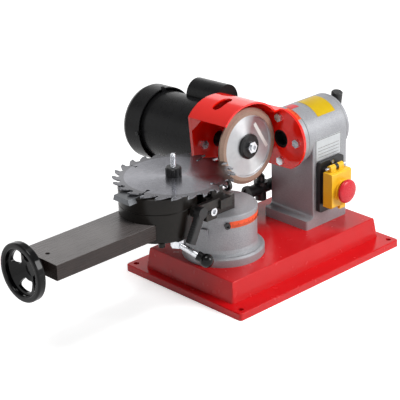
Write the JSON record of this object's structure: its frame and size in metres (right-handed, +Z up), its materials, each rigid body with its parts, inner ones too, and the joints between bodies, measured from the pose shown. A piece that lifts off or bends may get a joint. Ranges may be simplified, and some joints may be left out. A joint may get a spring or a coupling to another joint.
{
  "type": "saw blade grinder",
  "caption": "Bench grinder for circular saw blades: tilting motor head with a hooded dish wheel, turntable with an arm, screw-fed carriage, feed lever, blade arbor and switch.",
  "frame": {"origin": "centre of the four base bolt holes, on the base's underside", "axes": "+Z up, +X along the base towards the headstock, +Y towards the motor"},
  "size_m": [0.6745, 0.3804, 0.2798],
  "materials": {
    "base_red": "gloss paint on cast iron",
    "guard_red": "gloss paint on steel plate",
    "grey_paint": "silver-grey paint on cast iron",
    "motor_black": "satin black paint",
    "ground_steel": "ground steel",
    "dark_iron": "dark machined iron",
    "bright_steel": "bright turned steel",
    "blade_steel": "polished saw steel",
    "black_oxide": "black oxide steel",
    "core_steel": "laminated steel",
    "aluminium": "turned aluminium",
    "abrasive": "resin-bonded abrasive",
    "bronze": "bronze",
    "black_plastic": "moulded plastic",
    "gloss_black": "glossy plastic",
    "yellow_plastic": "moulded plastic",
    "red_plastic": "moulded plastic",
    "green_plastic": "moulded plastic",
    "cord_rubber": "cord sheath"
  },
  "bodies": {
    "base": {"base": "base_red", "headstock": "grey_paint", "pedestal": "grey_paint", "base_bolts": "black_oxide", "end_cap": "grey_paint", "pivot_pin": "bright_steel", "switch_box": "black_plastic", "switch_front": "black_plastic", "switch_screws": "bright_steel", "flap_pin": "bright_steel", "lead_elbow": "black_plastic", "lead_gland": "black_plastic", "motor_lead": "cord_rubber"},
    "head": {"swivel_drum": "grey_paint", "tilt_shaft": "black_oxide", "head_bracket": "guard_red", "wheel_hood": "guard_red", "head_bolts": "bright_steel", "motor_front_bell": "motor_black", "motor_shell": "motor_black", "motor_rear_bell": "motor_black", "fan_cover": "motor_black", "fan_cover_screws": "black_oxide", "stator": "core_steel", "motor_bearings": "bright_steel", "capacitor_cover": "motor_black", "capacitor": "aluminium", "terminal_box": "black_plastic"},
    "spindle": {"motor_shaft": "bright_steel", "rotor": "core_steel", "cooling_fan": "black_plastic", "wheel_flange": "black_oxide", "wheel_body": "aluminium", "abrasive_rim": "abrasive", "wheel_washer": "black_oxide", "wheel_screw": "bright_steel"},
    "tilt_clamp": {"tilt_clamp_lever": "black_plastic"},
    "turntable": {"turntable": "grey_paint", "arm": "ground_steel", "socket_screws": "black_oxide", "stop_bracket": "black_oxide", "stop_rod": "bright_steel"},
    "stop_finger": {"stop_finger": "black_oxide"},
    "stop_clamp": {"stop_clamp_lever": "black_plastic"},
    "handwheel": {"lead_screw": "bright_steel", "handwheel": "gloss_black"},
    "carriage": {"carriage_body": "dark_iron", "carriage_top": "dark_iron", "lead_nut": "bronze"},
    "feed_lever": {"feed_crank": "bright_steel", "feed_lever": "bright_steel", "lever_ball": "gloss_black"},
    "feed_slide": {"dovetail_slide": "bright_steel", "arbor_stud": "bright_steel", "arbor_nut": "black_oxide"},
    "blade": {"saw_blade": "blade_steel"},
    "switch_flap": {"switch_flap": "yellow_plastic"},
    "mushroom": {"mushroom_button": "red_plastic"},
    "start_button": {"start_button": "green_plastic"},
    "stop_button": {"stop_button": "red_plastic"}
  },
  "joints": [
    {"name": "head_tilt", "type": "hinge", "parent": "base", "child": "head", "pos_m": [0, 0, 0.199], "axis": [1, 0, 0], "range_deg": [-17, 23], "deforming": ["motor_lead"]},
    {"name": "wheel_spin", "type": "hinge", "parent": "head", "child": "spindle", "pos_m": [-0.0223, 0.00018, 0.20239], "axis": [0, 0.9986, -0.0523], "continuous": true},
    {"name": "tilt_clamp_turn", "type": "hinge", "parent": "head", "child": "tilt_clamp", "pos_m": [0.16, 0, 0.199], "axis": [1, 0, 0], "range_deg": [-70, 50]},
    {"name": "turntable_yaw", "type": "hinge", "parent": "base", "child": "turntable", "pos_m": [-0.093, 0, 0.107], "axis": [0, 0, 1], "range_deg": [-3, 25]},
    {"name": "stop_finger_swing", "type": "hinge", "parent": "turntable", "child": "stop_finger", "pos_m": [-0.11, -0.03, 0.173], "axis": [1, 0, 0], "range_deg": [0, 100]},
    {"name": "stop_clamp_turn", "type": "hinge", "parent": "turntable", "child": "stop_clamp", "pos_m": [-0.198, -0.06, 0.164], "axis": [0, 1, 0], "range_deg": [-50, 60]},
    {"name": "handwheel_turn", "type": "hinge", "parent": "turntable", "child": "handwheel", "pos_m": [-0.47, 0.0143, 0.1395], "axis": [1, 0, 0], "range_deg": [0, 10801]},
    {"name": "carriage_slide", "type": "slide", "parent": "turntable", "child": "carriage", "axis": [-1, 0, 0], "range_m": [0, 0.15]},
    {"name": "feed_slide", "type": "slide", "parent": "carriage", "child": "feed_slide", "axis": [-1, 0, 0], "range_m": [0, 0.015]},
    {"name": "feed_lever_swing", "type": "hinge", "parent": "carriage", "child": "feed_lever", "pos_m": [-0.226, -0.0365, 0.14], "axis": [0, 0, 1], "range_deg": [0, 16.95]},
    {"name": "blade_spin", "type": "hinge", "parent": "feed_slide", "child": "blade", "pos_m": [-0.1822, 0.0143, 0.1984], "axis": [0, 0, 1], "continuous": true},
    {"name": "switch_flap_open", "type": "hinge", "parent": "base", "child": "switch_flap", "pos_m": [0.101, -0.067, 0.152], "axis": [-1, 0, 0], "range_deg": [0, 100]},
    {"name": "mushroom_press", "type": "slide", "parent": "switch_flap", "child": "mushroom", "axis": [0, 1, 0], "range_m": [0, 0.003], "stiffness_N_per_m": 400},
    {"name": "start_press", "type": "slide", "parent": "base", "child": "start_button", "axis": [0, 1, 0], "range_m": [0, 0.003], "stiffness_N_per_m": 300},
    {"name": "stop_press", "type": "slide", "parent": "base", "child": "stop_button", "axis": [0, 1, 0], "range_m": [0, 0.003], "stiffness_N_per_m": 300}
  ],
  "couplings": [
    {"joint": "handwheel_turn", "follows": "carriage_slide", "rad_per_m": 1256.6},
    {"joint": "feed_lever_swing", "follows": "feed_slide", "rad_per_m": 19.685}
  ]
}
